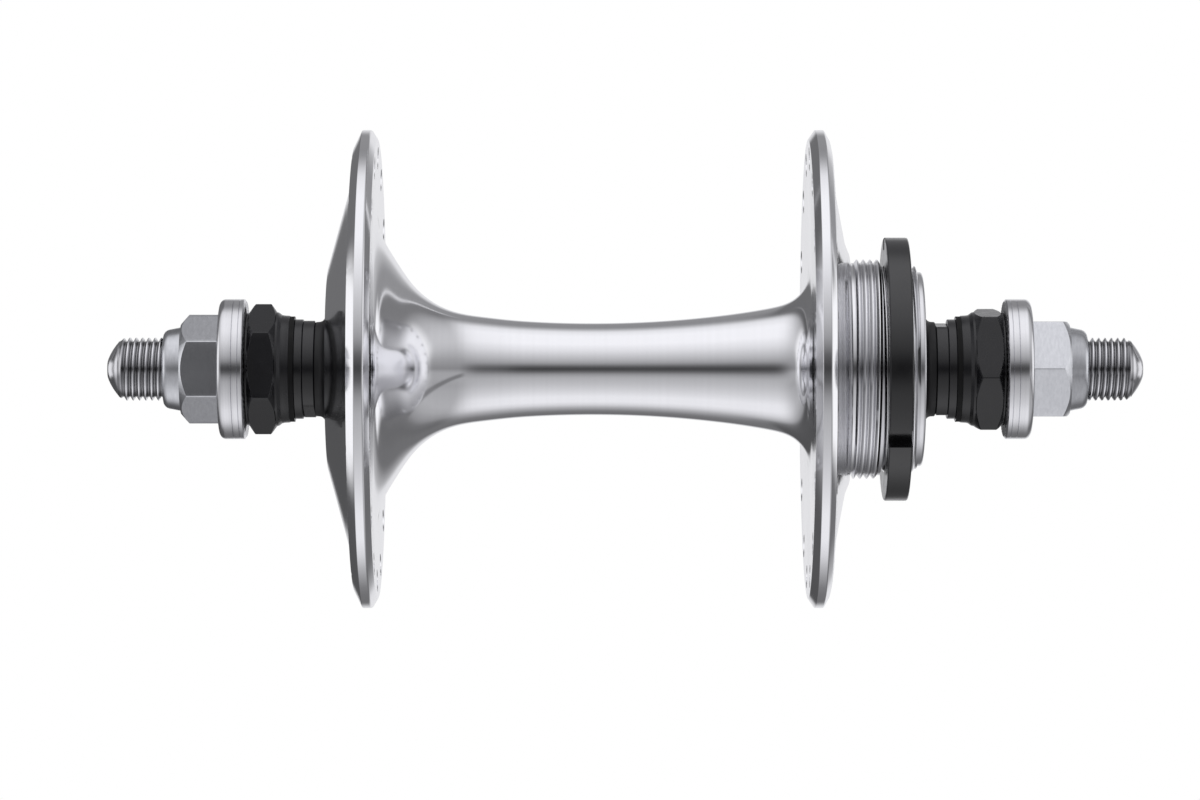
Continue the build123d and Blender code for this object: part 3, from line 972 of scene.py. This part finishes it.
def tent_cloth(tree, x, y, z):
    """The tent's cloth, above and below, with a dimmer band towards both ends of the axle."""
    swing = swing_round(tree, y, z)
    above = ramp(tree, swing, [
        (0.0, 0.05), (0.035, 0.12), (0.08, 0.35), (0.125, 0.49), (0.17, 0.6), (0.256, 0.82), (0.36, 1.0),
        (0.5, 1.0), (0.585, 0.86), (0.62, 0.66), (0.65, 0.47), (0.685, 0.32), (0.72, 0.28), (0.8, 0.29),
    ])
    above_ends = ramp(tree, swing, [
        (0.0, 0.26), (0.054, 0.31), (0.11, 0.36), (0.18, 0.45), (0.26, 0.55), (0.335, 0.6), (0.415, 0.6),
        (0.487, 0.57), (0.549, 0.5), (0.6, 0.4), (0.64, 0.29), (0.67, 0.21), (0.715, 0.2), (0.722, 0.25),
        (0.726, 0.85), (0.732, 0.85), (0.736, 0.3), (0.8, 0.3),
    ])
    below = ramp(tree, swing, [
        (0.0, 0.05), (0.035, 0.12), (0.075, 0.32), (0.12, 0.46), (0.22, 0.58), (0.31, 0.72), (0.41, 0.9),
        (0.5, 0.9), (0.56, 0.74), (0.62, 0.48), (0.667, 0.34), (0.72, 0.22), (0.77, 0.18), (0.85, 0.16),
    ])
    below_ends = ramp(tree, swing, [
        (0.0, 0.28), (0.05, 0.4), (0.12, 0.41), (0.2, 0.38), (0.27, 0.42), (0.34, 0.44), (0.415, 0.46),
        (0.487, 0.47), (0.55, 0.42), (0.62, 0.3), (0.66, 0.18), (0.7, 0.15), (0.75, 0.17), (0.85, 0.17),
    ])
    ends = either(tree, eased(tree, x, 0.1, 0.45), eased(tree, x, -0.3, -0.9))
    upper = mix_colours(tree, ends, above, above_ends)
    lower = mix_colours(tree, ends, below, below_ends)
    return mix_colours(tree, eased(tree, z, -0.02, 0.02), lower, upper)


def dark_screen(tree, x, y):
    """A dark screen behind and to the left."""
    return product(tree, eased(tree, x, -0.08, -0.18), eased(tree, y, 0.35, 0.55), 0.45)


def end_lights(tree, x, y, z):
    """Bright walls at both ends of the axle, and a strip of light behind each flange's edge."""
    sides = either(tree, eased(tree, x, 0.78, 0.95), eased(tree, x, -0.8, -0.94))
    upright = eased(tree, z, -0.38, -0.02)
    walls = product(tree, sides, upright, eased(tree, y, 0.5, 0.22), eased(tree, y, -0.5, -0.25))
    level = eased(tree, math_node(tree, "ABSOLUTE", z), 0.2, 0.12)
    aside = eased(tree, math_node(tree, "ABSOLUTE", x), 0.6, 0.68)
    strips = product(tree, level, aside, eased(tree, y, 0.42, 0.54))
    return either(tree, walls, strips)


def cloth_fold(tree, x, y, z):
    """The fold of the cloth that runs down to the right."""
    line = math_node(tree, "ADD", z, math_node(tree, "MULTIPLY_ADD", x, 0.615, -0.134))
    line = math_node(tree, "ADD", line, math_node(tree, "MULTIPLY", y, -0.14))
    near = eased(tree, math_node(tree, "ABSOLUTE", line), 0.1, 0.03)
    return product(tree, near, eased(tree, x, 0.3, 0.4), eased(tree, y, 0.5, 0.35), 0.5)


def pale_panel(tree, x, y):
    """The pale panel behind, a little to the right, at half strength where it ends there."""
    towards = math_node(tree, "MULTIPLY_ADD", y, 0.985, math_node(tree, "MULTIPLY", x, 0.174))
    fade = math_node(tree, "MULTIPLY_ADD", eased(tree, x, 0.26, 0.4), -0.5, 1.0)
    return product(tree, eased(tree, towards, 0.865, 0.985), eased(tree, x, -0.22, -0.13), fade)


def add_world():
    """A light tent round the hub, open in front for the lens. The lens itself sees plain white."""
    world = bpy.data.worlds.new("tent")
    bpy.context.scene.world = world
    world.use_nodes = True
    tree = world.node_tree
    place = tree.nodes.new("ShaderNodeTexCoord")
    split = tree.nodes.new("ShaderNodeSeparateXYZ")
    tree.links.new(place.outputs["Generated"], split.inputs[0])
    x, y, z = (split.outputs[axis] for axis in "XYZ")
    tent = tent_cloth(tree, x, y, z)
    tent = mix_colours(tree, dark_screen(tree, x, y), tent, BLACK)
    tent = mix_colours(tree, end_lights(tree, x, y, z), tent, (1.04, 1.04, 1.06, 1))
    tent = mix_colours(tree, cloth_fold(tree, x, y, z), tent, BLACK)
    tent = mix_colours(tree, pale_panel(tree, x, y), tent, (0.8, 0.8, 0.82, 1))
    path = tree.nodes.new("ShaderNodeLightPath")
    colour = mix_colours(tree, path.outputs["Is Camera Ray"], tent, WHITE)
    tree.links.new(colour, tree.nodes["Background"].inputs["Color"])


def floor_paper():
    """Pale paper that takes the hub's shadow near it and goes over into plain white further out."""
    material = bpy.data.materials.new("floor_paper")
    material.use_nodes = True
    tree = material.node_tree
    paper = tree.nodes["Principled BSDF"]
    paper.inputs["Base Color"].default_value = (0.86, 0.86, 0.86, 1)
    paper.inputs["Roughness"].default_value = 0.9
    glow = tree.nodes.new("ShaderNodeEmission")
    path = tree.nodes.new("ShaderNodeLightPath")
    place = tree.nodes.new("ShaderNodeTexCoord")
    distance = tree.nodes.new("ShaderNodeVectorMath")
    distance.operation = "LENGTH"
    tree.links.new(place.outputs["Object"], distance.inputs[0])
    spread = tree.nodes.new("ShaderNodeMapRange")
    spread.inputs["From Min"].default_value = 0.12
    spread.inputs["From Max"].default_value = 0.4
    spread.inputs["To Min"].default_value = 0.6
    spread.inputs["To Max"].default_value = 1.0
    tree.links.new(distance.outputs["Value"], spread.inputs["Value"])
    seen = either(tree, path.outputs["Is Glossy Ray"], path.outputs["Is Transmission Ray"])
    seen = either(tree, path.outputs["Is Camera Ray"], seen)
    mix = tree.nodes.new("ShaderNodeMixShader")
    tree.links.new(product(tree, seen, spread.outputs["Result"]), mix.inputs[0])
    tree.links.new(paper.outputs[0], mix.inputs[1])
    tree.links.new(glow.outputs[0], mix.inputs[2])
    tree.links.new(mix.outputs[0], tree.nodes["Material Output"].inputs["Surface"])
    return material


def add_floor():
    """A plain pale floor, well below the hub, that takes its soft shadow."""
    bpy.ops.mesh.primitive_circle_add(vertices=96, radius=6.0, fill_type="NGON", location=(0, 0, -0.1))
    floor = bpy.context.object
    floor.name = "floor"
    floor.data.materials.append(floor_paper())
    floor.visible_glossy = False
    floor.visible_diffuse = False


def add_key_light():
    """A soft light above, a little to the front and left, aimed at the hub."""
    place = Vector((-0.1, -0.35, 0.9))
    light = bpy.data.lights.new("key", "AREA")
    light.shape = "RECTANGLE"
    light.size = 0.9
    light.size_y = 0.7
    light.energy = 6.0
    obj = bpy.data.objects.new("key", light)
    bpy.context.scene.collection.objects.link(obj)
    obj.location = place
    obj.rotation_euler = (-place).to_track_quat("-Z", "Y").to_euler()
    obj.visible_glossy = False


def add_camera():
    """Level with the hub and square to the axle, at 6.3 pixels of a 1200-pixel frame to a millimetre."""
    distance = 0.88
    seen_width = 1200 / 6.3 * MM
    camera = bpy.data.cameras.new("camera")
    camera.sensor_width = 36.0
    camera.lens = camera.sensor_width * distance / seen_width
    obj = bpy.data.objects.new("camera", camera)
    bpy.context.scene.collection.objects.link(obj)
    obj.location = (-0.004, -distance, -0.0049)
    obj.rotation_euler = (pi / 2, 0, 0)
    bpy.context.scene.camera = obj


add_shell()
add_shell_threads()
add_axle()
add_lockring()
for end in SIDES:
    add_locknut(end)
    add_locknut_band(end)
    add_axle_nut(end)
    add_washer(end)
    add_spacer(end)
    add_cone(end)
    add_seal(end)
    add_cap(end)
    finish_bearing(end)
add_world()
add_floor()
add_key_light()
add_camera()
bpy.context.scene.view_settings.view_transform = "Standard"
